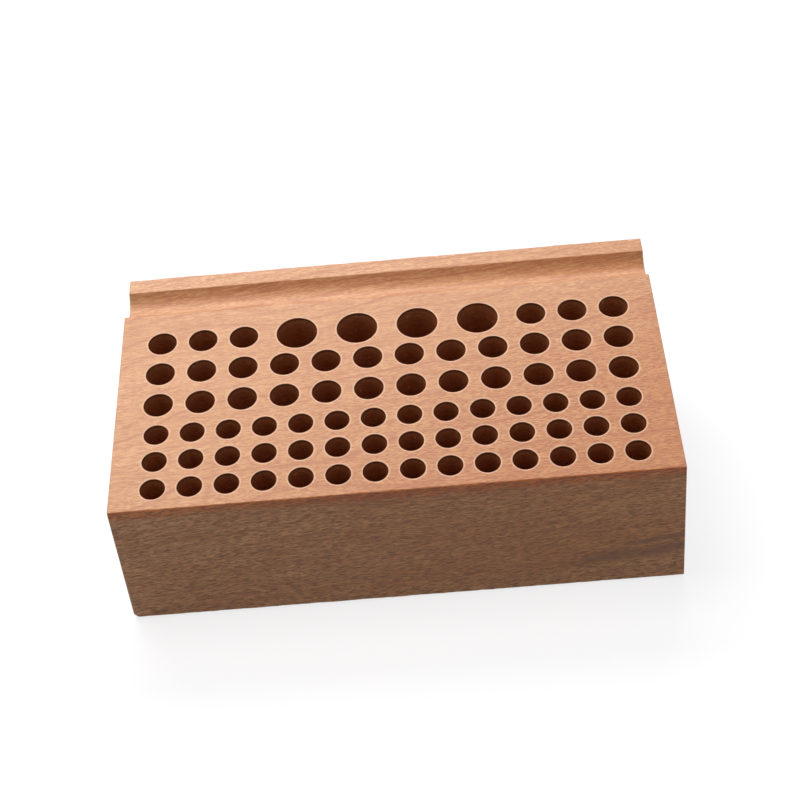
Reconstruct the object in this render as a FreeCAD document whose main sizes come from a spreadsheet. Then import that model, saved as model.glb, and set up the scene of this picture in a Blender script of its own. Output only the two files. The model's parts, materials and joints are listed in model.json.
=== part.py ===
import FreeCAD, Part
import math
import os
import Sketcher

# Tool storage caddy: a wedge-shaped beech block, drilled to stand hand tools in, on four anti-slip feet.
# Millimetres, +Z up. The origin is on the table under the middle of the block. +X runs along the block
# and -Y is its front, the low side. Rows of holes are placed up the slope from the front top edge.

# Driving dimensions: name, value and meaning
DIMENSIONS = [
    ("block_length", 225, "end to end"),
    ("block_depth", 130, "front face to back face"),
    ("front_height", 57.2, "height of the front face"),
    ("top_slope", 11.4, "rise of the drilled top towards the back, in degrees"),
    ("edge_ease", 0.8, "radius sanded onto every outside edge"),
    ("groove_radius", 10, "nose of the cutter that runs the groove along the back"),
    ("groove_depth", 7.6, "lowest line of the groove below the plane of the drilled top"),
    ("groove_setback", 17.3, "middle of the groove to the back face"),
    ("strip_drop", 3.6, "strip behind the groove, below the plane of the drilled top"),
    ("end_margin", 17.3, "first and last hole of a full row to the ends of the block"),
    ("bore_depth", 40, "straight wall of a hole, square to the drilled top"),
    ("first_extra", 0.05, "how much deeper the first hole goes than the rest, a working allowance"),
    ("drill_point", 118, "angle of the point in which every hole ends, in degrees"),
    ("small_bore", 10, "diameter of the small holes"),
    ("small_count", 14, "small holes in a row"),
    ("small_rows", 3, "rows of small holes"),
    ("small_first", 10.2, "front top edge to the first row of small holes"),
    ("small_step", 13.9, "from one row of small holes to the next"),
    ("medium_bore", 12, "diameter of the medium holes"),
    ("medium_count", 12, "medium holes in a full row"),
    ("medium_rows", 2, "full rows of medium holes"),
    ("medium_gap", 15.9, "last row of small holes to the first row of medium ones"),
    ("medium_step", 17.1, "from one full row of medium holes to the next"),
    ("back_gap", 17.2, "last full row of medium holes to the back row"),
    ("side_count", 3, "medium holes at each end of the back row"),
    ("large_bore", 17, "diameter of the large holes"),
    ("large_count", 4, "large holes in the middle of the back row"),
    ("large_pitch", 25.4, "from one large hole to the next"),
    ("foot_diameter", 14, "anti-slip foot"),
    ("foot_thickness", 1, "height at which the feet hold the block off the table"),
    ("foot_inset", 16, "middle of a foot to the nearest end and face of the block"),
]

# Places worked out from the driving dimensions, as expressions over the sheet
FIRST_LEFT = "(Dims.block_length / 2 - Dims.end_margin)"
FIRST_DEPTH = "(Dims.bore_depth + Dims.first_extra)"
ROW_EXTENT = "(Dims.block_length - 2 * Dims.end_margin)"
SIDE_EXTENT = f"({ROW_EXTENT} / (Dims.medium_count - 1) * (Dims.side_count - 1))"
LARGE_EXTENT = "(Dims.large_pitch * (Dims.large_count - 1))"
SMALL_EXTENT_UP = "(Dims.small_step * (Dims.small_rows - 1))"
MEDIUM_EXTENT_UP = "(Dims.medium_step * (Dims.medium_rows - 1))"
MEDIUM_FIRST = f"(Dims.small_first + {SMALL_EXTENT_UP} + Dims.medium_gap)"
BACK_ROW = f"({MEDIUM_FIRST} + {MEDIUM_EXTENT_UP} + Dims.back_gap)"
SLOPE = "(Dims.top_slope * 1 deg)"
POINT = "(Dims.drill_point * 1 deg)"
TOP_AT_GROOVE = f"(Dims.front_height + (Dims.block_depth - Dims.groove_setback) * tan({SLOPE}))"
CUTTER_HEIGHT = f"({TOP_AT_GROOVE} + (Dims.groove_radius - Dims.groove_depth) / cos({SLOPE}))"

# Numbers that a sketch gives to the points of its geometry, and to its own origin and upright axis
START, END, MIDDLE = range(1, 4)
ORIGIN, UPRIGHT = range(-1, -3, -1)

doc = FreeCAD.newDocument("tool_caddy")
sheet = doc.addObject("Spreadsheet::Sheet", "Dims")
for number, (alias, value, meaning) in enumerate(DIMENSIONS, start=1):
    sheet.set(f"A{number}", alias)
    sheet.set(f"B{number}", str(value))
    sheet.set(f"C{number}", meaning)
    sheet.setAlias(f"B{number}", alias)
doc.recompute()


def size(expression):
    """The value of an expression over the sheet, in millimetres or degrees."""
    return float(sheet.evalExpression(expression))


def hold(sketch, name, expression, value, kind, *where):
    """A named constraint that starts at a value and follows an expression over the sheet."""
    index = sketch.addConstraint(Sketcher.Constraint(kind, *where, value))
    sketch.renameConstraint(index, name)
    sketch.setExpression(f"Constraints.{name}", expression)


def origin_plane(body, role):
    """One of a body's own origin planes."""
    return next(item for item in body.Origin.OriginFeatures if item.Role == role)


def end_profile(body):
    """The outline of the block seen from its end: a wedge with the cove of the groove in its top."""
    sketch = body.newObject("Sketcher::SketchObject", "end_profile")
    sketch.AttachmentSupport = (origin_plane(body, "YZ_Plane"), [""])
    sketch.MapMode = "FlatFace"

    slope = math.radians(size("Dims.top_slope"))
    depth = size("Dims.block_depth")
    bottom = size("Dims.foot_thickness")
    front_height = size("Dims.front_height")
    radius = size("Dims.groove_radius")
    setback = size("Dims.groove_setback")
    drop = size("Dims.strip_drop")
    cutter_height = size(CUTTER_HEIGHT)
    above_top = radius - size("Dims.groove_depth")
    lip_angle = slope - math.pi / 2 - math.acos(above_top / radius)
    rear_angle = slope - math.pi / 2 + math.acos((above_top + drop) / radius)
    back_height = front_height + depth * math.tan(slope) - drop / math.cos(slope)

    front_foot = FreeCAD.Vector(-depth / 2, bottom, 0)
    front_top = FreeCAD.Vector(-depth / 2, bottom + front_height, 0)
    back_foot = FreeCAD.Vector(depth / 2, bottom, 0)
    back_top = FreeCAD.Vector(depth / 2, bottom + back_height, 0)
    cutter = FreeCAD.Vector(depth / 2 - setback, bottom + cutter_height, 0)
    nose = Part.Circle(cutter, FreeCAD.Vector(0, 0, 1), radius)
    arc = Part.ArcOfCircle(nose, lip_angle, rear_angle)

    base = sketch.addGeometry(Part.LineSegment(front_foot, back_foot))
    back = sketch.addGeometry(Part.LineSegment(back_foot, back_top))
    strip = sketch.addGeometry(Part.LineSegment(arc.EndPoint, back_top))
    cove = sketch.addGeometry(arc)
    top = sketch.addGeometry(Part.LineSegment(front_top, arc.StartPoint))
    front = sketch.addGeometry(Part.LineSegment(front_foot, front_top))
    meetings = [
        (base, END, back, START),
        (back, END, strip, END),
        (strip, START, cove, END),
        (cove, START, top, END),
        (top, START, front, END),
        (front, START, base, START),
    ]
    for meeting in meetings:
        sketch.addConstraint(Sketcher.Constraint("Coincident", *meeting))
    sketch.addConstraint(Sketcher.Constraint("Vertical", back))
    sketch.addConstraint(Sketcher.Constraint("Vertical", front))
    sketch.addConstraint(Sketcher.Constraint("Parallel", strip, top))
    sketch.addConstraint(Sketcher.Constraint("Symmetric", base, START, base, END, UPRIGHT))
    hold(sketch, "depth", "Dims.block_depth", depth, "DistanceX", base, START, base, END)
    hold(sketch, "lift", "Dims.foot_thickness", bottom, "DistanceY", ORIGIN, START, base, START)
    hold(sketch, "front", "Dims.front_height", front_height, "DistanceY", front, START, front, END)
    hold(sketch, "slope", SLOPE, slope, "Angle", top)
    hold(sketch, "nose", "Dims.groove_radius", radius, "Radius", cove)
    hold(sketch, "setback", "Dims.groove_setback", setback, "DistanceX", cove, MIDDLE, back, START)
    hold(sketch, "cutter", CUTTER_HEIGHT, cutter_height, "DistanceY", base, START, cove, MIDDLE)
    hold(sketch, "drop", "Dims.strip_drop", drop, "Distance", strip, START, top)
    doc.recompute()
    return sketch


def blank(body):
    """The block before drilling: its end profile padded to length, every edge eased."""
    pad = body.newObject("PartDesign::Pad", "grooved_blank")
    pad.Profile = end_profile(body)
    pad.Midplane = True
    pad.setExpression("Length", "Dims.block_length")
    doc.recompute()
    eased = body.newObject("PartDesign::Fillet", "eased_edges")
    eased.Base = (pad, [""])
    eased.UseAllEdges = True
    eased.setExpression("Radius", "Dims.edge_ease")
    doc.recompute()


def drill(body, name, bore, depth, left, up, *directions):
    """A blind hole with a pointed floor, square to the top and repeated in up to two directions.

    It starts left of the middle and up the slope. A direction is a sketch axis, a count and an extent.
    """
    turned = FreeCAD.Rotation(FreeCAD.Vector(1, 0, 0), size("Dims.top_slope"))
    place = body.newObject("Sketcher::SketchObject", f"{name}_place")
    place.AttachmentSupport = (origin_plane(body, "XY_Plane"), [""])
    place.MapMode = "FlatFace"
    place.AttachmentOffset = FreeCAD.Placement(FreeCAD.Vector(), turned)
    place.setExpression("AttachmentOffset.Base.y", "-Dims.block_depth / 2")
    place.setExpression("AttachmentOffset.Base.z", "Dims.foot_thickness + Dims.front_height")
    place.setExpression("AttachmentOffset.Rotation.Angle", SLOPE)
    centre = FreeCAD.Vector(-size(left), size(up), 0)
    rim = place.addGeometry(Part.Circle(centre, FreeCAD.Vector(0, 0, 1), size(bore) / 2))
    hold(place, "bore", bore, size(bore), "Diameter", rim)
    hold(place, "left", left, size(left), "DistanceX", rim, MIDDLE, ORIGIN, START)
    hold(place, "up", up, size(up), "DistanceY", ORIGIN, START, rim, MIDDLE)
    doc.recompute()

    undrilled = body.Shape.Volume
    hole = body.newObject("PartDesign::Hole", name)
    hole.Profile = place
    hole.DepthType = "Dimension"
    hole.DrillPoint = "Angled"
    hole.setExpression("DrillPointAngle", POINT)
    hole.setExpression("Diameter", bore)
    hole.setExpression("Depth", depth)
    doc.recompute()
    if body.Shape.Volume >= undrilled:
        raise RuntimeError(f"{name} cut nothing")

    if directions:
        pattern = body.newObject("PartDesign::LinearPattern", f"{name}_pattern")
        pattern.Originals = [hole]
        for suffix, (axis, count, extent) in zip(("", "2"), directions):
            setattr(pattern, f"Direction{suffix}", (place, [axis]))
            setattr(pattern, f"Mode{suffix}", "Extent")
            pattern.setExpression(f"Length{suffix}", extent)
            pattern.setExpression(f"Occurrences{suffix}", count)
        body.Tip = pattern
        doc.recompute()
    print(f"{name}: {undrilled - body.Shape.Volume:.0f} cubic mm drilled out")


def tool_block():
    """The drilled block, in one piece of wood."""
    body = doc.addObject("PartDesign::Body", "tool_block")
    body.Label = "tool_block"
    blank(body)
    drill(
        body, "small_hole", "Dims.small_bore", "Dims.bore_depth", FIRST_LEFT, "Dims.small_first",
        ("H_Axis", "Dims.small_count", ROW_EXTENT),
        ("V_Axis", "Dims.small_rows", SMALL_EXTENT_UP),
    )
    drill(
        body, "medium_hole", "Dims.medium_bore", "Dims.bore_depth", FIRST_LEFT, MEDIUM_FIRST,
        ("H_Axis", "Dims.medium_count", ROW_EXTENT),
        ("V_Axis", "Dims.medium_rows", MEDIUM_EXTENT_UP),
    )
    drill(
        body, "side_hole", "Dims.medium_bore", "Dims.bore_depth", FIRST_LEFT, BACK_ROW,
        ("H_Axis", "Dims.side_count", SIDE_EXTENT),
        ("H_Axis", "2", f"{ROW_EXTENT} - {SIDE_EXTENT}"),
    )
    drill(
        body, "large_hole", "Dims.large_bore", "Dims.bore_depth", f"{LARGE_EXTENT} / 2", BACK_ROW,
        ("H_Axis", "Dims.large_count", LARGE_EXTENT),
    )
    drill(body, "first_hole", "Dims.small_bore", FIRST_DEPTH, FIRST_LEFT, "Dims.small_first")
    return body


def foot(end, end_sign, face, face_sign):
    """A thin anti-slip pad stuck under one corner of the block."""
    pad = doc.addObject("Part::Cylinder", f"foot_{face}_{end}")
    pad.Label = f"foot_{face}_{end}"
    pad.setExpression("Radius", "Dims.foot_diameter / 2")
    pad.setExpression("Height", "Dims.foot_thickness")
    pad.setExpression("Placement.Base.x", f"{end_sign} * (Dims.block_length / 2 - Dims.foot_inset)")
    pad.setExpression("Placement.Base.y", f"{face_sign} * (Dims.block_depth / 2 - Dims.foot_inset)")
    return pad


pieces = [tool_block()]
for face, face_sign in (("front", -1), ("rear", 1)):
    for end, end_sign in (("left", -1), ("right", 1)):
        pieces.append(foot(end, end_sign, face, face_sign))
doc.recompute()

for item in doc.Objects:
    if "Invalid" in item.State or "Error" in item.State:
        raise RuntimeError(f"{item.Name} failed: {item.State}")
for piece in pieces:
    if piece.Shape.isNull() or not piece.Shape.isValid():
        raise RuntimeError(f"{piece.Label} has no valid shape")

os.makedirs("parts", exist_ok=True)
for piece in pieces:
    piece.Shape.exportStep(f"parts/{piece.Label}.step")
    box = piece.Shape.BoundBox
    print(f"{piece.Label}: {box.XLength:.2f} x {box.YLength:.2f} x {box.ZLength:.2f} mm")
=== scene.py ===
# %% [markdown]
# # A drilled beech rack for hand tools
#
# The object is one wedge of steamed beech. Its sloped top is drilled with rows of blind holes in which
# small tools stand, and a rounded groove along the back holds what is laid down. This lesson builds its
# looks in Blender around a finished CAD model, the frame, which already has the right sizes.
#
# Loading the frame comes first. Its corners are kept. One unit is a metre, and sizes below are written in
# millimetres times `MM`.

# %% Load the frame
import cmath
import json
import math

import bmesh
import bpy
from mathutils import Matrix, Vector, noise
from mathutils.geometry import delaunay_2d_cdt


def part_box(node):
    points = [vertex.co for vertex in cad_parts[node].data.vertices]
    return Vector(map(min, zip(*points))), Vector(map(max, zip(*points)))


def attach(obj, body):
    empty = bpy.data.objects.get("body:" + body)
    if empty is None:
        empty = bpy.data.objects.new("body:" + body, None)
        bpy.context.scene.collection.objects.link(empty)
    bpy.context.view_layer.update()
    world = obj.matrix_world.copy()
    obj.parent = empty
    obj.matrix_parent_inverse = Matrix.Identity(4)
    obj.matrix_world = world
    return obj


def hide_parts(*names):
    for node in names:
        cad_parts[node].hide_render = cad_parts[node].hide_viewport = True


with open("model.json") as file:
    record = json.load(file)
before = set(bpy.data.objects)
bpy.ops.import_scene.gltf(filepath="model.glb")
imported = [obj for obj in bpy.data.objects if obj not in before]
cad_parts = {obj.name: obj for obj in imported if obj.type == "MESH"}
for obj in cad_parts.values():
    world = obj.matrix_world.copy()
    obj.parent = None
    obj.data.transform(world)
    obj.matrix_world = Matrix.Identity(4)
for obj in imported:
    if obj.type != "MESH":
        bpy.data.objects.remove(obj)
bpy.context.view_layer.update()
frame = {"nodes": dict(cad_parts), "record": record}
MM = 0.001
print("frame nodes:", ", ".join(sorted(frame["nodes"])))

# %% [markdown]
# ## The camera
#
# The rack is seen from its front, a little right of its middle and from above. The camera could be aimed
# by eye, but here it is placed by numbers: where it stands, what its axis passes through, and how far it
# leans to the right, which is what makes the long edges climb across the picture.

# %% Set up the camera
CAMERA_PLACE = Vector((24.2, -553.7, 476.7)) * MM
CAMERA_AIM = Vector((2.98, 0.0, 51.97)) * MM
CAMERA_LEAN = math.radians(6.02)
CAMERA_LENS = 74.97


def put_in_scene(name, data):
    """A new object of the scene: a mesh, a lamp or a camera."""
    thing = bpy.data.objects.new(name, data)
    bpy.context.scene.collection.objects.link(thing)
    return thing


def looking(place, aim):
    """The turn of a camera or lamp that stands at a place and looks at its aim."""
    return (aim - place).to_track_quat("-Z", "Y").to_matrix()


camera = put_in_scene("camera", bpy.data.cameras.new("camera"))
camera.data.lens = CAMERA_LENS
leaning = looking(CAMERA_PLACE, CAMERA_AIM) @ Matrix.Rotation(-CAMERA_LEAN, 3, "Z")
camera.matrix_world = Matrix.Translation(CAMERA_PLACE) @ leaning.to_4x4()
bpy.context.scene.camera = camera
print(f"camera {(CAMERA_AIM - CAMERA_PLACE).length:.3f} m from what it looks at")

# %% [markdown]
# ## The end profile
#
# Seen from its end the rack is a wedge with a cove cut into its top and a lower strip behind the cove.
# The shape could be cut out of a box with Booleans, but an outline that is worked out leaves every edge in
# the maker's hand. The frame gives the corners of the block, and its holes, which stand square to the
# top, give the slope.
#
# A point of the profile is a complex number: y is the real part and z the imaginary one, so turning a
# direction is a multiplication.

# %% Find the corners of the profile
GROOVE_RADIUS = 10 * MM
GROOVE_DEPTH = 7.6 * MM
GROOVE_SETBACK = 17.3 * MM
STRIP_DROP = 3.6 * MM

holes = [mount for mount in frame["record"]["mounts"] if mount["kind"] == "bore"]
out_of_hole = Vector(holes[0]["axis"]).normalized()
first_mouth = Vector(holes[0]["pos_m"])
block_low, block_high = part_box("tool_block")

top_normal = complex(out_of_hole.y, out_of_hole.z)
down_slope = top_normal * 1j
top_rise = -down_slope.imag / -down_slope.real
front_top_height = first_mouth.z - (first_mouth.y - block_low.y) * top_rise
front_top = complex(block_low.y, front_top_height)
groove_y = block_high.y - GROOVE_SETBACK
top_over_groove = complex(groove_y, front_top_height + (groove_y - block_low.y) * top_rise)
cutter = top_over_groove + 1j * (GROOVE_RADIUS - GROOVE_DEPTH) / top_normal.imag
strip_front = top_over_groove - STRIP_DROP * top_normal
back_top_height = strip_front.imag + (block_high.y - strip_front.real) * top_rise
back_top = complex(block_high.y, back_top_height)
slope = math.degrees(math.atan(top_rise))
print(f"top slopes {slope:.1f} degrees, from {front_top_height / MM:.1f} mm over the floor")

# %% [markdown]
# ## Eased edges
#
# Every edge was sanded by hand, so none is sharp and none is even. A Bevel modifier would round all edges
# alike, so each edge has a radius here that wanders along it with a noise. Use has also worn the edges
# browner. The wear sets in as an edge turns, and fades out over its reach, some way of the flat face that
# comes after. It shows most on the front, below the top edge, where the band is mostly painted shade: the
# rounded edge turning from the lit top into the shaded front, painted darker and redder.
#
# The outline runs anticlockwise seen from +X, and the wood is on its left. Each sample of it is a place,
# the direction that faces out there, and how much wear and painted edge shade that spot gets.

# %% Ease the edges
EDGES = {
    "front_foot": {"radius": 0.9 * MM, "wear_and_shade": 0.3, "reach": 0.6 * MM},
    "back_foot": {"radius": 0.9 * MM, "wear_and_shade": 0.3, "reach": 0.6 * MM},
    "back_top": {"radius": 0.9 * MM, "wear_and_shade": 0.3, "reach": 0.6 * MM},
    "strip_lip": {"radius": 0.7 * MM, "wear_and_shade": 0.25, "reach": 0.6 * MM},
    "top_lip": {"radius": 0.9 * MM, "wear_and_shade": 0.3, "reach": 0.6 * MM},
    # The front top edge: mostly painted shade, where the rounded edge turns from the lit top into the
    # shaded front.
    "front_top": {"radius": 0.65 * MM, "wear_and_shade": 1.0, "reach": 5.0 * MM},
}
EDGE_UNEVEN = 0.3
EDGE_WAVES = (90.0, 310.0)
EDGE_LANE = 9.7


def edge_radius(edge, x):
    """How round one edge is at a place along the block."""
    lane = EDGE_LANE * list(EDGES).index(edge)
    uneven = sum(noise.noise(Vector((x * wave, lane, wave))) for wave in EDGE_WAVES)
    return EDGES[edge]["radius"] * (1 + EDGE_UNEVEN * uneven)


edge_spots = (block_low.x, 0.0, block_high.x)
print("top edge's radius in mm:", [round(edge_radius("front_top", x) / MM, 2) for x in edge_spots])

# %% Round the corners
SHOULDER = 0.5 * MM
CORNER_STEPS = 6


def rounded(edge, centre, radius, first, last):
    """Samples round an eased edge, as the outward direction turns from first to last."""
    turn = cmath.phase(last / first)
    shares = [step / CORNER_STEPS for step in range(CORNER_STEPS + 1)]
    outwards = [first * cmath.exp(1j * turn * share) for share in shares]
    wear_and_shade_shares = [EDGES[edge]["wear_and_shade"] * share for share in shares]
    return [(centre + radius * outward, outward, wear_and_shade) for outward, wear_and_shade in zip(outwards, wear_and_shade_shares)]


def shoulder(sample, reach):
    """A sample with no wear and no painted shade, on the flat face beside an eased edge, before it if the
    reach is negative.
    """
    place, outward, _ = sample
    return place + reach * 1j * outward, outward, 0.0


def square_edge(edge, x, corner, first, last):
    """The eased edge between two flat faces that face first and last."""
    radius = edge_radius(edge, x)
    centre = corner - radius * (first + last) / (1 + (first * last.conjugate()).real)
    arc = rounded(edge, centre, radius, first, last)
    return [shoulder(arc[0], -SHOULDER), *arc, shoulder(arc[-1], EDGES[edge]["reach"])]


def groove_edge(edge, x, face_point, side):
    """The eased edge between the cove and a flat face beside it, towards the back (1) or front (-1)."""
    radius = edge_radius(edge, x)
    height = ((cutter - face_point) * top_normal.conjugate()).real + radius
    reach = GROOVE_RADIUS + radius
    aside = math.sqrt(reach**2 - height**2)
    centre = cutter - height * top_normal - side * aside * down_slope
    into_cove = (cutter - centre) / reach
    if side > 0:
        arc = rounded(edge, centre, radius, top_normal, into_cove)
        return [shoulder(arc[0], -SHOULDER), *arc]
    arc = rounded(edge, centre, radius, into_cove, top_normal)
    return [*arc, shoulder(arc[-1], EDGES[edge]["reach"])]


print(f"{CORNER_STEPS + 1} samples round each of {len(EDGES)} edges")

# %% [markdown]
# ## The whole outline
#
# The cove has the even curve of a round-nosed cutter, so it is an arc between its two lips. It could be
# sampled by a Bezier curve, but an arc needs only a turn. The edges and the arc follow one another round
# the profile, and the flat faces need no samples of their own between them.

# %% Draw the end profile
COVE_STEPS = 22


def cove(first, last):
    """The hollow of the groove between the outward directions at its two edges."""
    turn = cmath.phase(last / first)
    for step in range(1, COVE_STEPS):
        outward = first * cmath.exp(1j * turn * step / COVE_STEPS)
        yield cutter - GROOVE_RADIUS * outward, outward, 0.0


def outline(x):
    """The whole end profile at a place along the block, from its front bottom edge round."""
    front_foot = complex(block_low.y, block_low.z)
    back_foot = complex(block_high.y, block_low.z)
    strip_lip = groove_edge("strip_lip", x, strip_front, 1)
    top_lip = groove_edge("top_lip", x, top_over_groove, -1)
    return [
        *square_edge("front_foot", x, front_foot, -1, -1j),
        *square_edge("back_foot", x, back_foot, -1j, 1),
        *square_edge("back_top", x, back_top, 1, top_normal),
        *strip_lip,
        *cove(strip_lip[-1][1], top_lip[0][1]),
        *top_lip,
        *square_edge("front_top", x, front_top, top_normal, -1),
    ]


samples = len(outline(0.0))
top_front = samples - len(square_edge("front_top", 0.0, front_top, top_normal, -1))
top_back = top_front - 1
print(f"end profile of {samples} points")

# %% [markdown]
# ## The block
#
# The block is the profile drawn out along its length. A Curve with a bevel object could do that, but with
# one profile all the way. So the profile is laid out as rings, each with its own roundness, and the rings
# are joined by faces. At each end the rings draw in along their own outward directions, turning from the
# sides to the end, which eases the end edges as well.

# %% Lay out the rings
END_RADIUS = 0.4 * MM
END_STEPS = 5
RINGS_ALONG = 110


def quarter_turn(steps):
    """Angles from nothing to a quarter of a turn."""
    return [math.pi / 2 * step / steps for step in range(steps + 1)]


straight_half = block_high.x - END_RADIUS
end_rings = [(straight_half + END_RADIUS * math.sin(turn), turn) for turn in quarter_turn(END_STEPS)[1:]]
straight_rings = [(straight_half * (2 * step / RINGS_ALONG - 1), 0.0) for step in range(RINGS_ALONG + 1)]
rings = [(-x, turn) for x, turn in reversed(end_rings)] + straight_rings + end_rings
print(f"{len(rings)} rings along the block")

# %% [markdown]
# ## Sweeping, wear and painted light
#
# Each vertex remembers numbers for the finish: `edge`, how worn it is, which at the top edge of the front
# is mostly painted shade; how close it is to the mouth of a hole, which sets a painted highlight on the
# rim;
# and how much painted shadow falls just under the mouth, where the drill has also browned the wood a
# little.
# A material reads them as attributes. They could be painted by hand, but here each follows from how its
# vertex was made. The wear is back to nothing where an end face begins, or it would be drawn out over the
# whole face.
#
# One corner, at the foot of the front on the left, has been knocked round: what stands outside a small
# ball there is drawn in to the ball. The sloped top is left open, because it is filled with a drilled
# sheet further on.

# %% Sweep the block along its length
END_WEAR = 0.3
KNOCKED_RADIUS = 2.2 * MM

mesh_in_work = bmesh.new()
# Edge wear with painted edge shade, a painted rim highlight, and painted shadow under the mouths with
# scorch.
wear_and_shade_layer = mesh_in_work.verts.layers.float.new("edge")
rim_highlight_layer = mesh_in_work.verts.layers.float.new("rim_highlight")
shadow_and_scorch_layer = mesh_in_work.verts.layers.float.new("shadow_and_scorch")
knocked_ball = block_low + Vector((1, 1, 1)) * KNOCKED_RADIUS


def knocked(spot):
    """A spot drawn in to the ball where the corner has been knocked round."""
    out = spot - knocked_ball
    if max(out) < 0 and out.length > KNOCKED_RADIUS:
        return knocked_ball + out.normalized() * KNOCKED_RADIUS
    return spot


rows = []
for x, turn in rings:
    row = []
    for place, outward, wear_and_shade in outline(x):
        eased = place - END_RADIUS * (1 - math.cos(turn)) * outward
        vertex = mesh_in_work.verts.new(knocked(Vector((x, eased.real, eased.imag))))
        vertex[wear_and_shade_layer] = max(wear_and_shade * math.cos(turn), END_WEAR * math.sin(2 * turn))
        row.append(vertex)
    rows.append(row)

for number, (near, far) in enumerate(zip(rows, rows[1:])):
    over_holes = END_STEPS <= number < END_STEPS + RINGS_ALONG
    for spot in range(samples):
        after = (spot + 1) % samples
        if over_holes and spot == top_back:
            continue
        mesh_in_work.faces.new((near[spot], near[after], far[after], far[spot]))
mesh_in_work.faces.new(list(reversed(rows[0])))
mesh_in_work.faces.new(rows[-1])
print(f"block swept with {len(mesh_in_work.faces)} faces")

# %% [markdown]
# ## The holes
#
# Every hole was drilled square to the sloped top, and ends in the blunt cone of the drill's point. A
# Boolean could cut the holes, but 76 of them would leave ragged shading, so each hole is made as rings
# that go in from a flat collar, over a softened rim, down the wall and to the point. Its place, size and
# depth come from the frame. A ring has a whole number of segments in each quarter.

# %% Shape a hole
RIM_RADIUS = 0.35 * MM
RIM_STEPS = 4
COLLAR = 0.6 * MM
# How far under the rim the painted shadow reaches, with a little scorch.
SHADOW_AND_SCORCH_DEPTHS = {0.3 * MM: 1.0, 0.8 * MM: 0.5, 1.8 * MM: 0.0}
WALL_SHARES = (0.3, 0.6, 1.0)


def down_the_hole(radius, depth):
    """The rings of a hole, from its collar in: reach, depth, share of the rim, which sets its painted
    highlight, and painted shadow with scorch.
    """
    yield radius + RIM_RADIUS + COLLAR, 0.0, 0.0, 0.0
    for turn in quarter_turn(RIM_STEPS):
        sunk = 1 - math.cos(turn)
        yield radius + RIM_RADIUS * (1 - math.sin(turn)), RIM_RADIUS * sunk, 1.0, sunk
    for down, shadow_and_scorch in SHADOW_AND_SCORCH_DEPTHS.items():
        yield radius, RIM_RADIUS + down, 0.0, shadow_and_scorch
    for share in WALL_SHARES:
        yield radius, share * depth, 0.0, 0.0


print(len(list(down_the_hole(1, 1))), "rings from the collar of a hole to the end of its wall")

# %% Drill the holes
DRILL_POINT = math.radians(118)
SEGMENT = 0.75 * MM
QUARTERS = 4
WOOD, DRILLED = 0, 1

along_block = Vector((1, 0, 0))
up_slope = out_of_hole.cross(along_block)


def whole_turn(count):
    """Angles all the way round, evenly spaced."""
    return [2 * math.pi * step / count for step in range(count)]


def ring_of(mouth, radius, depth, count):
    """A ring of vertices round a hole's axis."""
    centre = mouth - depth * out_of_hole
    ways = [math.cos(turn) * along_block + math.sin(turn) * up_slope for turn in whole_turn(count)]
    return [mesh_in_work.verts.new(centre + radius * way) for way in ways]


def band(mesh, outer, inner):
    """The faces between two rings of as many vertices each."""
    afters = [*range(1, len(outer)), 0]
    return [
        mesh.faces.new((outer[spot], outer[after], inner[after], inner[spot]))
        for spot, after in enumerate(afters)
    ]


def drill(hole):
    """One hole, from its collar to its point. Returns the outside of the collar."""
    mouth = Vector(hole["pos_m"])
    radius = hole["dims"]["r_mm"] * MM
    depth = hole["dims"]["length_mm"] * MM
    count = QUARTERS * round(2 * math.pi * radius / SEGMENT / QUARTERS)
    circles = []
    for reach, down, rim_share, shadow_and_scorch in down_the_hole(radius, depth):
        circle = ring_of(mouth, reach, down, count)
        for vertex in circle:
            # The rim's share paints its highlight, and the last number paints shadow under the mouth.
            vertex[rim_highlight_layer] = rim_share
            vertex[shadow_and_scorch_layer] = shadow_and_scorch
        circles.append(circle)
    for number, (outer, inner) in enumerate(zip(circles, circles[1:])):
        for face in band(mesh_in_work, outer, inner):
            face.material_index = DRILLED if number > RIM_STEPS // 2 else WOOD
    tip_depth = depth + radius / math.tan(DRILL_POINT / 2)
    tip = mesh_in_work.verts.new(mouth - tip_depth * out_of_hole)
    deepest = circles[-1]
    for near, far in zip(deepest, deepest[1:] + deepest[:1]):
        face = mesh_in_work.faces.new((near, far, tip))
        face.material_index = DRILLED
    return circles[0]


collars = [drill(hole) for hole in holes]
print(f"{len(holes)} holes drilled, {len(mesh_in_work.faces)} faces so far")

# %% [markdown]
# ## The drilled sheet
#
# What is left of the top is a flat sheet with 76 round windows. Blender's constrained Delaunay
# triangulation fills it: it is given the outer loop and the collars as edges to respect. It fills the
# windows too, so a triangle with all its corners on one collar is left out. The others are hung on the
# vertices that exist already.

# %% Fill the top between the holes
TOUCHING = 1e-7
INSIDE = 1
OUTER_LOOP = 0

straight_rows = rows[END_STEPS:END_STEPS + RINGS_ALONG + 1]
front_line = [row[top_front] for row in straight_rows]
back_line = [row[top_back] for row in straight_rows]
loops = [front_line + back_line[::-1], *collars]
corners = [vertex for loop in loops for vertex in loop]
loop_of = [number for number, loop in enumerate(loops) for _ in loop]
flat = [Vector((vertex.co.x, vertex.co.dot(up_slope))) for vertex in corners]
fences = []
for loop in loops:
    start = len(fences)
    fences += [(start + spot, start + (spot + 1) % len(loop)) for spot in range(len(loop))]
_, _, triangles, origins, _, _ = delaunay_2d_cdt(flat, fences, [], INSIDE, TOUCHING)
sheet_faces = 0
for triangle in triangles:
    spots = [origins[spot][0] for spot in triangle]
    owners = {loop_of[spot] for spot in spots}
    if len(owners) == 1 and OUTER_LOOP not in owners:
        continue
    mesh_in_work.faces.new([corners[spot] for spot in spots])
    sheet_faces += 1
print(f"top filled with {sheet_faces} of {len(triangles)} triangles")

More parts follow.
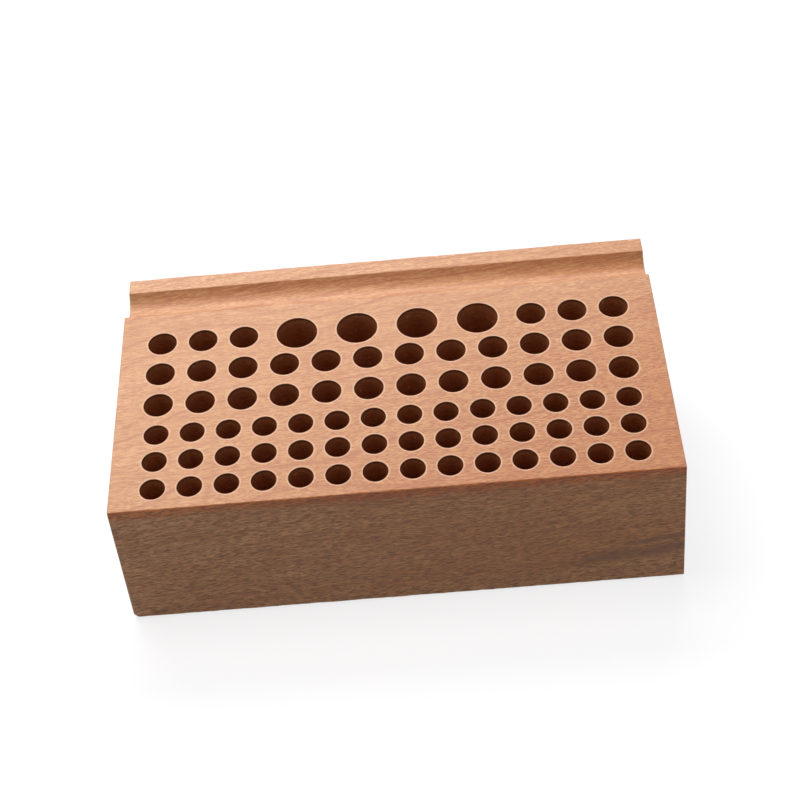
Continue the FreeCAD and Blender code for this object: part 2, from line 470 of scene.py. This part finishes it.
# %% [markdown]
# ## One piece of wood
#
# The work so far becomes one mesh. Its many small facets are shaded smooth, except over edges that turn
# sharply. Smooth shading alone would bend the light on the large flat faces near their eased edges, so a
# Weighted Normal modifier lets the largest faces decide.

# %% Make the block an object
SHARP = math.radians(34)
LARGEST_DECIDE = 100


def smooth_mesh(name, work):
    """A mesh of finished work, smooth but for its sharp edges."""
    mesh = bpy.data.meshes.new(name)
    work.to_mesh(mesh)
    work.free()
    mesh.shade_smooth()
    mesh.set_sharp_from_angle(angle=SHARP)
    return mesh


block_mesh = smooth_mesh("drilled_block", mesh_in_work)
block = put_in_scene("drilled_block", block_mesh)
evened = block.modifiers.new("evened_shading", "WEIGHTED_NORMAL")
evened.keep_sharp = True
evened.weight = LARGEST_DECIDE
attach(block, "root")
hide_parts("tool_block")
print(f"block of {len(block_mesh.polygons)} faces")

# %% [markdown]
# ## The feet
#
# Under each corner sits a thin anti-slip pad. The frame has a plain disc there. A pressed pad has a
# rounded lower edge and a shallow dish underneath, so each disc is replaced by a small turned shape: a
# profile of radius and height, spun round an upright axis. A Screw modifier could spin it too, but then
# the two flat caps would have to be closed apart.

# %% Turn the feet
FOOT_EDGE = 0.4 * MM
FOOT_EDGE_STEPS = 4
FOOT_DISH = 0.15 * MM
DISH_RIM_SHARE = 0.72
DISH_FLAT_SHARE = 0.6
FOOT_SEGMENTS = 48


def down_the_foot(radius, low, high):
    """The profile of a pad, as reach and height, from its top to the flat of its dish."""
    yield radius, high
    for turn in quarter_turn(FOOT_EDGE_STEPS):
        yield radius - FOOT_EDGE * (1 - math.cos(turn)), low + FOOT_EDGE * (1 - math.sin(turn))
    yield radius * DISH_RIM_SHARE, low
    yield radius * DISH_FLAT_SHARE, low + FOOT_DISH


def turned_foot(node):
    """A pad that takes the place of one CAD foot."""
    low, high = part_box(node)
    radius = (high.x - low.x) / 2
    middle = (low + high) / 2
    spun = bmesh.new()
    circles = []
    for reach, height in down_the_foot(radius, low.z, high.z):
        circle = []
        for turn in whole_turn(FOOT_SEGMENTS):
            x = middle.x + reach * math.cos(turn)
            y = middle.y + reach * math.sin(turn)
            circle.append(spun.verts.new((x, y, height)))
        circles.append(circle)
    for upper, lower in zip(circles, circles[1:]):
        band(spun, lower, upper)
    spun.faces.new(circles[0])
    spun.faces.new(circles[-1][::-1])
    mesh = smooth_mesh(node.replace("foot", "pad"), spun)
    pad = put_in_scene(mesh.name, mesh)
    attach(pad, "root")
    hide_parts(node)
    return pad


pads = [turned_foot(node) for node in sorted(frame["nodes"]) if node.startswith("foot")]
print(f"{len(pads)} feet turned")

# %% [markdown]
# ## Writing finishes as sums
#
# A finish is a graph of shader nodes, and a graph written node by node is hard to read. `Wire` wraps the
# output of a node and lends it Python's arithmetic, so that `1 - mask` adds a Math node and hands back its
# output. Any other node comes from its one method, `node`: the kind of node, its settings, which are set
# first, and then the values or wires for its sockets.

# %% A wire that can do sums
SUMS = {"add": "ADD", "sub": "SUBTRACT", "mul": "MULTIPLY", "truediv": "DIVIDE", "pow": "POWER"}


class Wire:
    """The output of a shader node, as a number that varies over a surface."""

    def __init__(self, tree, socket=None):
        self.tree = tree
        self.socket = socket

    def node(self, kind, settings=None, sockets=None, output=0):
        """Adds a node to the same tree and returns one of its outputs."""
        added = self.tree.nodes.new(kind)
        for name, value in (settings or {}).items():
            setattr(added, name, value)
        for name, value in (sockets or {}).items():
            if isinstance(value, Wire):
                self.tree.links.new(value.socket, added.inputs[name])
            else:
                added.inputs[name].default_value = value
        return Wire(self.tree, added.outputs[output] if added.outputs else None)

    def also(self, output):
        """Another output of the node that this one comes from."""
        return Wire(self.tree, self.socket.node.outputs[output])


def math_node(operation, flipped=False):
    """An operator of Wire that adds a Math node."""

    def operate(self, other):
        terms = (other, self) if flipped else (self, other)
        return self.node("ShaderNodeMath", {"operation": operation}, dict(enumerate(terms)))

    return operate


for sign, operation in SUMS.items():
    setattr(Wire, f"__{sign}__", math_node(operation))
    setattr(Wire, f"__r{sign}__", math_node(operation, flipped=True))
print("a wire knows:", ", ".join(SUMS))

# %% [markdown]
# ## Tools for finishes
#
# A few steps come back in every finish: a colour written as a screen shows it, a smooth rise, one colour
# laid over another, noise in a stretched space, and the shader that closes the graph. Node groups could
# hold them, but a function that adds its nodes is easier to follow.

# %% Colours and masks
MIX_FACTOR, MIX_UNDER, MIX_OVER, MIX_RESULT = 0, 6, 7, 2


def new_finish(name):
    """An empty material, and a wire that starts its node tree."""
    material = bpy.data.materials.new(name)
    material.use_nodes = True
    material.node_tree.nodes.clear()
    return material, Wire(material.node_tree)


def screen(red, green, blue):
    """A colour as a screen shows it, 0 to 255, as the linear colour that a shader wants: the sRGB curve."""
    shares = [level / 255 for level in (red, green, blue)]
    linear = [share / 12.92 if share <= 0.04045 else ((share + 0.055) / 1.055) ** 2.4 for share in shares]
    return (*linear, 1.0)


def rise(value, low, high):
    """0 below low, 1 above high, and a smooth rise between."""
    return value.node(
        "ShaderNodeMapRange",
        {"interpolation_type": "SMOOTHSTEP"},
        {"Value": value, "From Min": low, "From Max": high},
    )


def mixed(mask, under, over, blend="MIX"):
    """One colour laid over another where the mask is 1."""
    settings = {"data_type": "RGBA", "blend_type": blend}
    sockets = {MIX_FACTOR: mask, MIX_UNDER: under, MIX_OVER: over}
    return mask.node("ShaderNodeMix", settings, sockets, output=MIX_RESULT)


print(f"half grey on a screen is {screen(128, 128, 128)[0]:.3f} to a shader")

# %% Places, noise and gloss
def scaled(vector, x, y, z):
    """A vector with each of its parts multiplied."""
    return vector.node("ShaderNodeVectorMath", {"operation": "MULTIPLY"}, {0: vector, 1: (x, y, z)})


def clouds(vector, detail=2.0, roughness=0.5):
    """Noise between 0 and 1 in a space that is already scaled."""
    sockets = {"Vector": vector, "Scale": 1.0, "Detail": detail, "Roughness": roughness}
    return vector.node("ShaderNodeTexNoise", {}, sockets)


def blotches(space, scale, span, **look):
    """Noise in a space drawn out by a scale, as a mask that rises over a span of its levels."""
    return rise(clouds(scaled(space, *scale), **look), *span)


def place_on(start):
    """The place of a spot in the object's own space."""
    return start.node("ShaderNodeTexCoord", {}, {}, output="Object")


def surface(start, material, colour, roughness, height, depth, shine=0.5):
    """Closes a finish with a plain glossy shader, and hands the material back."""
    bumped = start.node("ShaderNodeBump", {}, {"Strength": 1.0, "Distance": depth, "Height": height})
    sockets = {"Base Color": colour, "Roughness": roughness, "Normal": bumped, "Specular IOR Level": shine}
    shader = start.node("ShaderNodeBsdfPrincipled", {}, sockets)
    start.node("ShaderNodeOutputMaterial", {}, {"Surface": shader})
    return material


print("tools for finishes ready")

# %% [markdown]
# ## The run of the fibres
#
# An image of beech could be wrapped round the block, but its grain would break at each edge. So the wood
# here is a solid: colour is worked out from the place inside the block, and a hole or an end face cuts
# through the same rings and rays as the top does.
#
# All of it is laid out in the space of the fibres, which run nearly along the block, climb a few degrees
# to the right, and drift a little from side to side as in any board.

# %% Lay the fibres
FIBRE_CLIMB_TOP = math.radians(2.5)
FIBRE_CLIMB_FRONT = math.radians(6.0)
FIBRE_DRIFT = 4 * MM
DRIFT_SCALE = (11.0, 30.0, 30.0)


def along(vector, direction):
    """How far a vector goes in one direction."""
    settings = {"operation": "DOT_PRODUCT"}
    return vector.node("ShaderNodeVectorMath", settings, {0: vector, 1: tuple(direction)}, output="Value")


def facing(start, axis):
    """How much a face looks along an axis, from -1 to 1."""
    return along(start.node("ShaderNodeNewGeometry", {}, {}, output="Normal"), axis)


def laid_fibres(start):
    """The space of the fibres, first straight and then drifting."""
    climb = (0.0, FIBRE_CLIMB_FRONT, -FIBRE_CLIMB_TOP)
    straight = start.node("ShaderNodeMapping", {}, {"Vector": place_on(start), "Rotation": climb})
    drift = clouds(scaled(straight, *DRIFT_SCALE)).also("Color")
    sockets = {0: drift, 1: (0.0, FIBRE_DRIFT, FIBRE_DRIFT), 2: straight}
    return straight, drift.node("ShaderNodeVectorMath", {"operation": "MULTIPLY_ADD"}, sockets)


print(f"fibres climb {math.degrees(FIBRE_CLIMB_FRONT):.1f} degrees on the front")

# %% [markdown]
# ## Growth rings
#
# Each year ends in a thin line of darker wood. A Wave texture gives such lines, but all of one strength.
# Here the years are counted instead, so a random number for each ring can make a few of them strong. The
# rings lie nearly flat: they cut the front as close lines, and the top as wide loose curves.

# %% Count the years
RINGS_FACE = Vector((0.03, 0.25, 1.0)).normalized()
RING_STEP = 3.2 * MM
RING_BEND = 8.0
RING_BEND_SCALE = (8.0, 14.0, 14.0)
RING_DARKENS = (0.7, 0.95)
RING_ENDS = (0.95, 1.0)
FAINTEST_RING = 0.2


def growth_rings(fibre):
    """The dark line at the end of each year's growth, as a mask."""
    bend = clouds(scaled(fibre, *RING_BEND_SCALE), detail=1.0)
    year = along(fibre, RINGS_FACE) / RING_STEP + RING_BEND * bend
    number = year.node("ShaderNodeMath", {"operation": "FLOOR"}, {0: year})
    season = year - number
    line = rise(season, *RING_DARKENS) * (1 - rise(season, *RING_ENDS))
    chance = number.node("ShaderNodeTexWhiteNoise", {"noise_dimensions": "1D"}, {"W": number})
    return line * (FAINTEST_RING + (1 - FAINTEST_RING) * chance * chance)


print(f"a growth ring every {RING_STEP / MM:.1f} mm")

# %% [markdown]
# ## Rays and streaks
#
# Beech is known by thousands of short dark dashes, the ends of its rays. Noise would give a soft mottle,
# so a Voronoi texture deals out rooms drawn out along the fibre, with one crisp dash in each.
#
# Two dark mineral streaks run out at the right of the front. They are single things at known places, so
# each is a line with a soft edge that begins at a point and goes only a little way into the wood.

# %% Scatter rays and draw streaks
RAY_CORE = 0.06
RAY_LEAST_REACH = 0.22
RAY_REACH_VARIES = 0.4
FAINTEST_RAY = 0.4
STREAKS = {
    "wide": {"begins": Vector((55, -65, 9.5)) * MM, "width": 4.4 * MM},
    "thin": {"begins": Vector((78, -65, 15.5)) * MM, "width": 2.2 * MM},
}
STREAK_WANDER = 4 * MM
STREAK_WAVES = 60.0
STREAK_RISE = 25 * MM
STREAK_DEPTH = 9 * MM
STREAK_CORE_SHARE = 0.1


def rays(fibre, length, width):
    """Short dashes along the fibre, as a mask: one in each Voronoi room, each of its own size."""
    room = scaled(fibre, 1 / length, 1 / width, 1 / width)
    sockets = {"Vector": room, "Scale": 1.0}
    near = room.node("ShaderNodeTexVoronoi", {"feature": "F1"}, sockets, output="Distance")
    chance = near.node("ShaderNodeSeparateColor", {}, {"Color": near.also("Color")}, output="Red")
    dash = 1 - rise(near, RAY_CORE, RAY_LEAST_REACH + RAY_REACH_VARIES * chance)
    return dash * (FAINTEST_RAY + (1 - FAINTEST_RAY) * chance)


def mineral_streak(fibre, begins, width):
    """A mineral streak that runs out at the right of the front, as a mask."""
    wander = STREAK_WANDER * clouds(scaled(fibre, STREAK_WAVES, 0.0, 0.0))
    off = fibre.node("ShaderNodeVectorMath", {"operation": "SUBTRACT"}, {0: fibre, 1: tuple(begins)})
    height = along(off, (0, 0, 1)) + wander
    aside = height.node("ShaderNodeMath", {"operation": "ABSOLUTE"}, {0: height})
    begun = rise(along(off, (1, 0, 0)), 0.0, STREAK_RISE)
    deep = rise(along(off, (0, 1, 0)), 0.0, STREAK_DEPTH)
    return begun * (1 - deep) * (1 - rise(aside, STREAK_CORE_SHARE * width, width))


print(f"{len(STREAKS)} mineral streaks, the widest {STREAKS['wide']['width'] / MM:.1f} mm to each side")

# %% [markdown]
# ## Steamed beech
#
# Steamed beech is orange tan. The piece is painted paler towards the back left and redder towards the front
# right: a painted sheen that falls off away from the lamps. One noise could not carry it, so thin layers
# are laid over one another from large to small: tone, rings, bands, fibres, flecks and rays, and the
# streaks last. A layer's scale is large across the fibre and small along it. The flecks and rays are
# darkest on the front. On the top the flecks grow stronger with the painted red.

# %% Colours and layers of beech
# The pale and rose tones also paint a sheen that falls off towards the front right.
PALE_AND_PAINTED_SHEEN = screen(224, 170, 118)
ROSE = screen(207, 143, 85)
LATE_WOOD = screen(176, 100, 56)
RAY = screen(126, 74, 30)
MINERAL = screen(104, 62, 30)
FRONT_SPAN = (0.92, 0.99)
SHEEN_FALLOFF_WAY = Vector((0.4, -0.9, 0.0)).normalized()
SHEEN_FALLOFF_SPAN = (-30 * MM, 80 * MM)
TONES = {"scale": (8.0, 45.0, 45.0), "span": (0.3, 0.7), "detail": 3.0}
BANDS = {"scale": (34.0, 560.0, 560.0), "span": (0.42, 0.68)}
FLECKS = {"scale": (300.0, 2900.0, 2900.0), "span": (0.46, 0.58), "roughness": 0.6}
RAY_PATCHES = {"scale": (25.0, 80.0, 80.0), "span": (0.3, 0.7)}
FIBRE_SCALE = (110.0, 1700.0, 1700.0)
FIBRE_SPAN = (0.46, 0.68)
RAY_ROOM_LENGTH = 3.6 * MM
RAY_ROOM_WIDTH = 0.55 * MM
print(f"a ray in every room of {RAY_ROOM_LENGTH / MM:.1f} x {RAY_ROOM_WIDTH / MM:.2f} mm")

# %% Beech as a solid
RING_STRENGTH = 0.85
BAND_STRENGTH, BAND_ON_FRONT = 0.3, 0.2
FIBRE_STRENGTH = 0.6
FLECK_STRENGTH, FLECK_ON_FRONT, FLECK_IN_SHEEN_FALLOFF = 0.5, 0.4, 0.5
RAY_STRENGTH, RAY_ON_FRONT = 0.4, 0.45
STREAK_STRENGTH = 0.6
FIBRE_RELIEF, FLECK_RELIEF, RAY_RELIEF = 0.5, 0.4, 0.3


def solid_beech(start):
    """The colour, the height of the surface and the fine fibres at any place in the wood."""
    straight, fibre = laid_fibres(start)
    front = rise(facing(start, (0, -1, 0)), *FRONT_SPAN)
    # Painted sheen: paler to the back left, redder to the front right.
    painted_sheen_falloff = rise(along(straight, SHEEN_FALLOFF_WAY), *SHEEN_FALLOFF_SPAN)
    tone_and_painted_sheen = 0.5 * blotches(fibre, **TONES) + 0.5 * painted_sheen_falloff
    bands = blotches(fibre, **BANDS)
    fibres = clouds(scaled(fibre, *FIBRE_SCALE), detail=3.0, roughness=0.7)
    flecks = blotches(fibre, **FLECKS)
    patches = blotches(fibre, **RAY_PATCHES)
    long_rays = rays(fibre, RAY_ROOM_LENGTH, RAY_ROOM_WIDTH) * (0.5 + 0.5 * patches)

    colour = mixed(tone_and_painted_sheen, PALE_AND_PAINTED_SHEEN, ROSE)
    colour = mixed(RING_STRENGTH * growth_rings(fibre), colour, LATE_WOOD)
    colour = mixed((BAND_STRENGTH + BAND_ON_FRONT * front) * bands, colour, LATE_WOOD)
    colour = mixed(FIBRE_STRENGTH * rise(fibres, *FIBRE_SPAN), colour, LATE_WOOD)
    dash = mixed(front, LATE_WOOD, RAY)
    # Flecks grow stronger where the painted sheen falls off.
    fleck_strength = FLECK_STRENGTH + FLECK_ON_FRONT * front + FLECK_IN_SHEEN_FALLOFF * painted_sheen_falloff * (1 - front)
    colour = mixed(fleck_strength * flecks, colour, dash)
    colour = mixed((RAY_STRENGTH + RAY_ON_FRONT * front) * long_rays, colour, dash)
    for streak in STREAKS.values():
        colour = mixed(STREAK_STRENGTH * mineral_streak(fibre, **streak), colour, MINERAL)
    height = FIBRE_RELIEF * fibres - FLECK_RELIEF * flecks - RAY_RELIEF * long_rays
    return colour, height, fibres


print("solid beech ready")

# %% [markdown]
# ## The sanded outside
#
# The outside is sanded, with a satin feel and no varnish. Worn edges burnish darker and redder, in ragged
# patches, and below the front top edge the band is mostly painted shade, where the rounded edge turns from
# the lit top into the shaded front. The band is multiplied over the wood like a stain, because a plain coat
# of colour would hide the grain. The mouths of the holes show a thin pale ring, a painted highlight on
# their softened rims. End grain drinks in light, so the two ends are a little darker: the mask for that is
# how much a face looks along the block.

# %% Finish the outside
# Wear, and below the front top edge painted shade, multiplied over the wood.
BURNISH_AND_PAINTED_SHADE = screen(255, 210, 152)
# Torn fibre, and a painted highlight on the rims of the holes.
FRESH_CUT_AND_RIM_HIGHLIGHT = screen(236, 190, 156)
END_GRAIN = screen(168, 108, 72)
END_SPAN = (0.3, 0.9)
END_STRENGTH = 0.4
RAGGED = {"scale": (240.0, 900.0, 900.0), "span": (0.28, 0.6), "detail": 3.0, "roughness": 0.6}
LEAST_WEAR_AND_SHADE = 0.6
RAGGED_WEAR_AND_SHADE = 0.8
WEAR_AND_SHADE_SPAN = (0.2, 0.7)
RIM_HIGHLIGHT_STRENGTH = 0.8
SATIN, SATIN_VARIES = 0.31, 0.14
SANDED_RELIEF = 0.05 * MM


def carried(start, name):
    """One of the numbers that the block's vertices carry."""
    return start.node("ShaderNodeAttribute", {"attribute_name": name}, {}, output="Fac")


def sanded_beech():
    """The outside of the block."""
    material, start = new_finish("sanded_beech")
    colour, height, fibres = solid_beech(start)
    ends = rise(facing(start, (1, 0, 0)) ** 2, *END_SPAN)
    colour = mixed(END_STRENGTH * ends, colour, END_GRAIN)
    ragged = blotches(place_on(start), **RAGGED)
    # Ragged wear, and below the front top edge painted shade.
    wear_and_shade = carried(start, "edge") * (LEAST_WEAR_AND_SHADE + RAGGED_WEAR_AND_SHADE * ragged)
    colour = mixed(rise(wear_and_shade, *WEAR_AND_SHADE_SPAN), colour, BURNISH_AND_PAINTED_SHADE, blend="MULTIPLY")
    # A painted highlight on the softened rims.
    colour = mixed(RIM_HIGHLIGHT_STRENGTH * carried(start, "rim_highlight"), colour, FRESH_CUT_AND_RIM_HIGHLIGHT)
    return surface(start, material, colour, SATIN + SATIN_VARIES * fibres, height, SANDED_RELIEF)


block_mesh.materials.append(sanded_beech())
print("outside of the block finished in", block_mesh.materials[WOOD].name)

# %% [markdown]
# ## The drilled walls
#
# Inside a hole it is the same wood, but the bit has rubbed it darker and left faint rings, one for each of
# its turns. Just under the mouth a dark band is painted shadow, where the rim shades the wall, with a
# little browning by the drill. Here and there a sliver of torn fibre stands pale against the wall. The
# outside's finish with a darker colour would do from afar, but a second finish can give the walls these
# marks and dull them.

# %% Finish the holes
DRILL_RUBBED = screen(166, 96, 57)
# Painted shadow under the mouth, with a little scorch by the drill.
SCORCH_AND_PAINTED_SHADOW = screen(50, 25, 14)
BIT_FEED = 1.1 * MM
FIBRES_BEND_MARKS = 5.0
TORN = {"scale": (520.0, 520.0, 300.0), "span": (0.7, 0.74)}
RUBBED_STRENGTH, MARK_STRENGTH = 0.72, 0.2
SHADOW_AND_SCORCH_STRENGTH = 0.8
TORN_STRENGTH = 0.6
DULL, DULL_VARIES = 0.55, 0.15
DULL_SHINE = 0.15
MARK_RELIEF = 0.8
DRILLED_RELIEF = 0.1 * MM


def drilled_beech():
    """The walls and points of the holes."""
    material, start = new_finish("drilled_beech")
    colour, height, fibres = solid_beech(start)
    place = place_on(start)
    turns = along(place, out_of_hole) * (2 * math.pi / BIT_FEED) + FIBRES_BEND_MARKS * fibres
    marks = turns.node("ShaderNodeMath", {"operation": "SINE"}, {0: turns})
    colour = mixed(RUBBED_STRENGTH + MARK_STRENGTH * marks, colour, DRILL_RUBBED)
    # Painted shadow just under the mouth, with a little scorch.
    colour = mixed(SHADOW_AND_SCORCH_STRENGTH * carried(start, "shadow_and_scorch"), colour, SCORCH_AND_PAINTED_SHADOW)
    colour = mixed(TORN_STRENGTH * blotches(place, **TORN), colour, FRESH_CUT_AND_RIM_HIGHLIGHT)
    roughness = DULL + DULL_VARIES * fibres
    relief = height + MARK_RELIEF * marks
    return surface(start, material, colour, roughness, relief, DRILLED_RELIEF, shine=DULL_SHINE)


block_mesh.materials.append(drilled_beech())
print("holes finished in", block_mesh.materials[DRILLED].name)

# %% [markdown]
# ## Rubber
#
# The pads are dark moulded rubber: matt, finely speckled and a little dusty. One flat grey would look like
# paint, so a fine noise makes the speckle and the matt, and a coarser one lays on the dust.

# %% Finish the feet
RUBBER = screen(38, 37, 36)
RUBBER_DUST = screen(92, 88, 82)
SPECKLE_SCALE = (2600.0, 2600.0, 2600.0)
DUST = {"scale": (420.0, 420.0, 420.0), "span": (0.5, 0.75), "detail": 4.0, "roughness": 0.65}
DUST_STRENGTH = 0.35
MATT, MATT_VARIES = 0.7, 0.2
RUBBER_RELIEF = 0.05 * MM


def pad_rubber():
    """The rubber of the pads."""
    material, start = new_finish("pad_rubber")
    place = place_on(start)
    speckle = clouds(scaled(place, *SPECKLE_SCALE), detail=3.0)
    colour = mixed(blotches(place, **DUST) * DUST_STRENGTH, RUBBER, RUBBER_DUST)
    return surface(start, material, colour, MATT + MATT_VARIES * speckle, speckle, RUBBER_RELIEF)


rubber = pad_rubber()
for pad in pads:
    pad.data.materials.append(rubber)
print(f"{len(pads)} feet finished in {rubber.name}")

# %% [markdown]
# ## The sheet
#
# The rack stands on a white sheet. More light would make any floor white, but it would bleach the wood as
# well. So the sheet is grey to the light that it throws back, and white only to the camera and in
# reflections, which the Light Path node tells apart. Near the rack it keeps the shadow, and away from the
# rack it fades to plain white.

# %% Spread the sheet
SHEET_HALF = 4.0
SHEET_SHADE = screen(145, 145, 147)
SHEET_GLOW = 0.78
SHEET_FADES = (0.3, 0.8)
WHITE = (1.0, 1.0, 1.0, 1.0)


def seen_directly(start):
    """1 where the camera looks, straight or by a reflection, and 0 where light is gathered."""
    camera_ray = start.node("ShaderNodeLightPath", {}, {}, output="Is Camera Ray")
    either = camera_ray + camera_ray.also("Is Glossy Ray") + camera_ray.also("Is Transmission Ray")
    return either.node("ShaderNodeMath", {"operation": "MINIMUM"}, {0: either, 1: 1.0})


def white_sheet():
    """The sheet under the rack, which fades to plain white away from it."""
    material, start = new_finish("white_sheet")
    place = place_on(start)
    off = place.node("ShaderNodeVectorMath", {"operation": "LENGTH"}, {0: place}, output="Value")
    dull = start.node("ShaderNodeBsdfDiffuse", {}, {"Color": SHEET_SHADE})
    glow = start.node("ShaderNodeEmission", {}, {"Color": WHITE, "Strength": SHEET_GLOW})
    plain = start.node("ShaderNodeEmission", {}, {"Color": WHITE, "Strength": 1.0})
    lit = start.node("ShaderNodeAddShader", {}, {0: dull, 1: glow})
    faded = start.node("ShaderNodeMixShader", {}, {0: rise(off, *SHEET_FADES), 1: lit, 2: plain})
    mix = start.node("ShaderNodeMixShader", {}, {0: seen_directly(start), 1: dull, 2: faded})
    start.node("ShaderNodeOutputMaterial", {}, {"Surface": mix})
    return material


sheet_mesh = bpy.data.meshes.new("white_sheet")
sheet_corners = [(-SHEET_HALF, -SHEET_HALF, 0.0), (SHEET_HALF, -SHEET_HALF, 0.0)]
sheet_corners += [(SHEET_HALF, SHEET_HALF, 0.0), (-SHEET_HALF, SHEET_HALF, 0.0)]
sheet_mesh.from_pydata(sheet_corners, [], [(0, 1, 2, 3)])
sheet_mesh.materials.append(white_sheet())
floor = put_in_scene("white_sheet", sheet_mesh)
print(f"sheet of {2 * SHEET_HALF:.0f} m spread under the rack")

# %% [markdown]
# ## The lamps
#
# A large soft lamp hangs above the rack to the left. A second, behind it and a little lower, is placed
# where the satin wood mirrors it towards the camera, so the top shows a pale haze that grows towards the
# back. The front is in shade, and lives on light from the sheet and from a low white card before it, which
# is a weak third lamp. A picture of a studio could light the rack too, but lamps can be moved one by one.

# %% Hang the lamps
LAMP_AIM = Vector((0.0, 0.0, 0.07))
LAMPS = {
    "left_lamp": {
        "place": Vector((-0.45, 0.18, 1.4)), "width": 0.75, "height": 0.75, "power": 9.0,
        "colour": screen(255, 246, 234),
    },
    "back_lamp": {
        "place": Vector((-0.15, 1.05, 1.27)), "width": 1.4, "height": 0.5, "power": 17.0,
        "colour": screen(255, 251, 247),
    },
    "front_card": {
        "place": Vector((-0.1, -0.95, 0.1)), "width": 1.2, "height": 0.25, "power": 0.6,
        "colour": screen(255, 250, 244),
    },
}


def soft_lamp(name, place, width, height, power, colour):
    """A soft rectangular lamp that looks at the rack."""
    lamp = put_in_scene(name, bpy.data.lights.new(name, "AREA"))
    lamp.data.shape = "RECTANGLE"
    lamp.data.size = width
    lamp.data.size_y = height
    lamp.data.energy = power
    lamp.data.color = colour[:3]
    lamp.matrix_world = Matrix.Translation(place) @ looking(place, LAMP_AIM).to_4x4()


for name, lamp in LAMPS.items():
    soft_lamp(name, **lamp)
print(f"{len(LAMPS)} soft lamps hung")

# %% [markdown]
# ## The air
#
# The air around the rack gives a weak even light, a little blue. One plain colour for the whole world
# would be either too strong a light or too grey a background, so it is white to the camera and in
# reflections, by the same mask as the sheet. The Standard view keeps colours as they are written.

# %% Fill the air
AIR_COLOUR = screen(236, 242, 255)
AIR_STRENGTH = 0.29

world = bpy.data.worlds.new("air")
bpy.context.scene.world = world
world.use_nodes = True
world.node_tree.nodes.clear()
air = Wire(world.node_tree)
weak = air.node("ShaderNodeBackground", {}, {"Color": AIR_COLOUR, "Strength": AIR_STRENGTH})
white_air = air.node("ShaderNodeBackground", {}, {"Color": WHITE, "Strength": 1.0})
around = air.node("ShaderNodeMixShader", {}, {0: seen_directly(air), 1: weak, 2: white_air})
air.node("ShaderNodeOutputWorld", {}, {"Surface": around})
bpy.context.scene.view_settings.view_transform = "Standard"
print(f"air gives light of strength {AIR_STRENGTH}")
